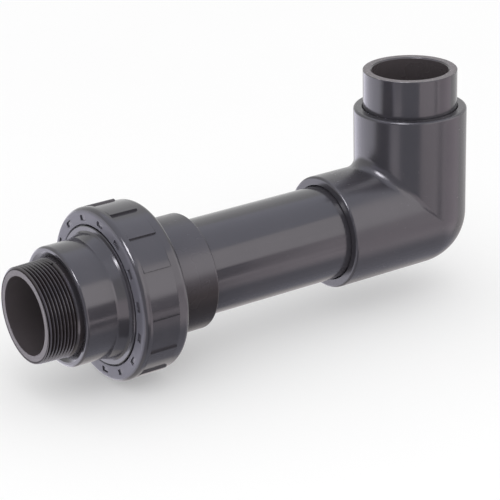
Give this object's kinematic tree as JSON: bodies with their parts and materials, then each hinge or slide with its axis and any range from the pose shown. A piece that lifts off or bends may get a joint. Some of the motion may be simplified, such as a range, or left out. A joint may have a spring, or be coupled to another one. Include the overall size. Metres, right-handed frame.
{
  "type": "pipe union with elbow",
  "caption": "Threaded pipe end, screwed pipe union with a grip-stepped nut, straight pipe, square elbow and an open pipe end.",
  "frame": {"origin": "centre of the threaded end's face, where the water way opens", "axes": "+X along the run from the threaded end to the elbow; +Z along the elbow's open leg, towards its mouth"},
  "size_m": [0.3216, 0.1076, 0.1485],
  "materials": {
    "nipple_plastic": "satin",
    "fitting_plastic": "satin",
    "nut_plastic": "satin",
    "pipe_plastic": "satin",
    "ring_rubber": "matte"
  },
  "bodies": {
    "tail": {"threaded_nipple": "nipple_plastic", "union_tail": "fitting_plastic"},
    "nut": {"union_nut": "nut_plastic"},
    "outlet_side": {"union_bush": "fitting_plastic", "o_ring": "ring_rubber", "pipe": "pipe_plastic", "elbow": "fitting_plastic", "outlet_stub": "pipe_plastic"}
  },
  "joints": [
    {"name": "nut_turn", "type": "hinge", "parent": "tail", "child": "nut", "pos_m": [0.0655, 0, 0], "axis": [-1, 0, 0], "range_deg": [0, 1080]},
    {"name": "outlet_slide", "type": "slide", "parent": "tail", "child": "outlet_side", "axis": [1, 0, 0], "range_m": [0, 0.012]}
  ],
  "couplings": [
    {"joint": "outlet_slide", "follows": "nut_turn", "m_per_rad": 0.00063662}
  ]
}
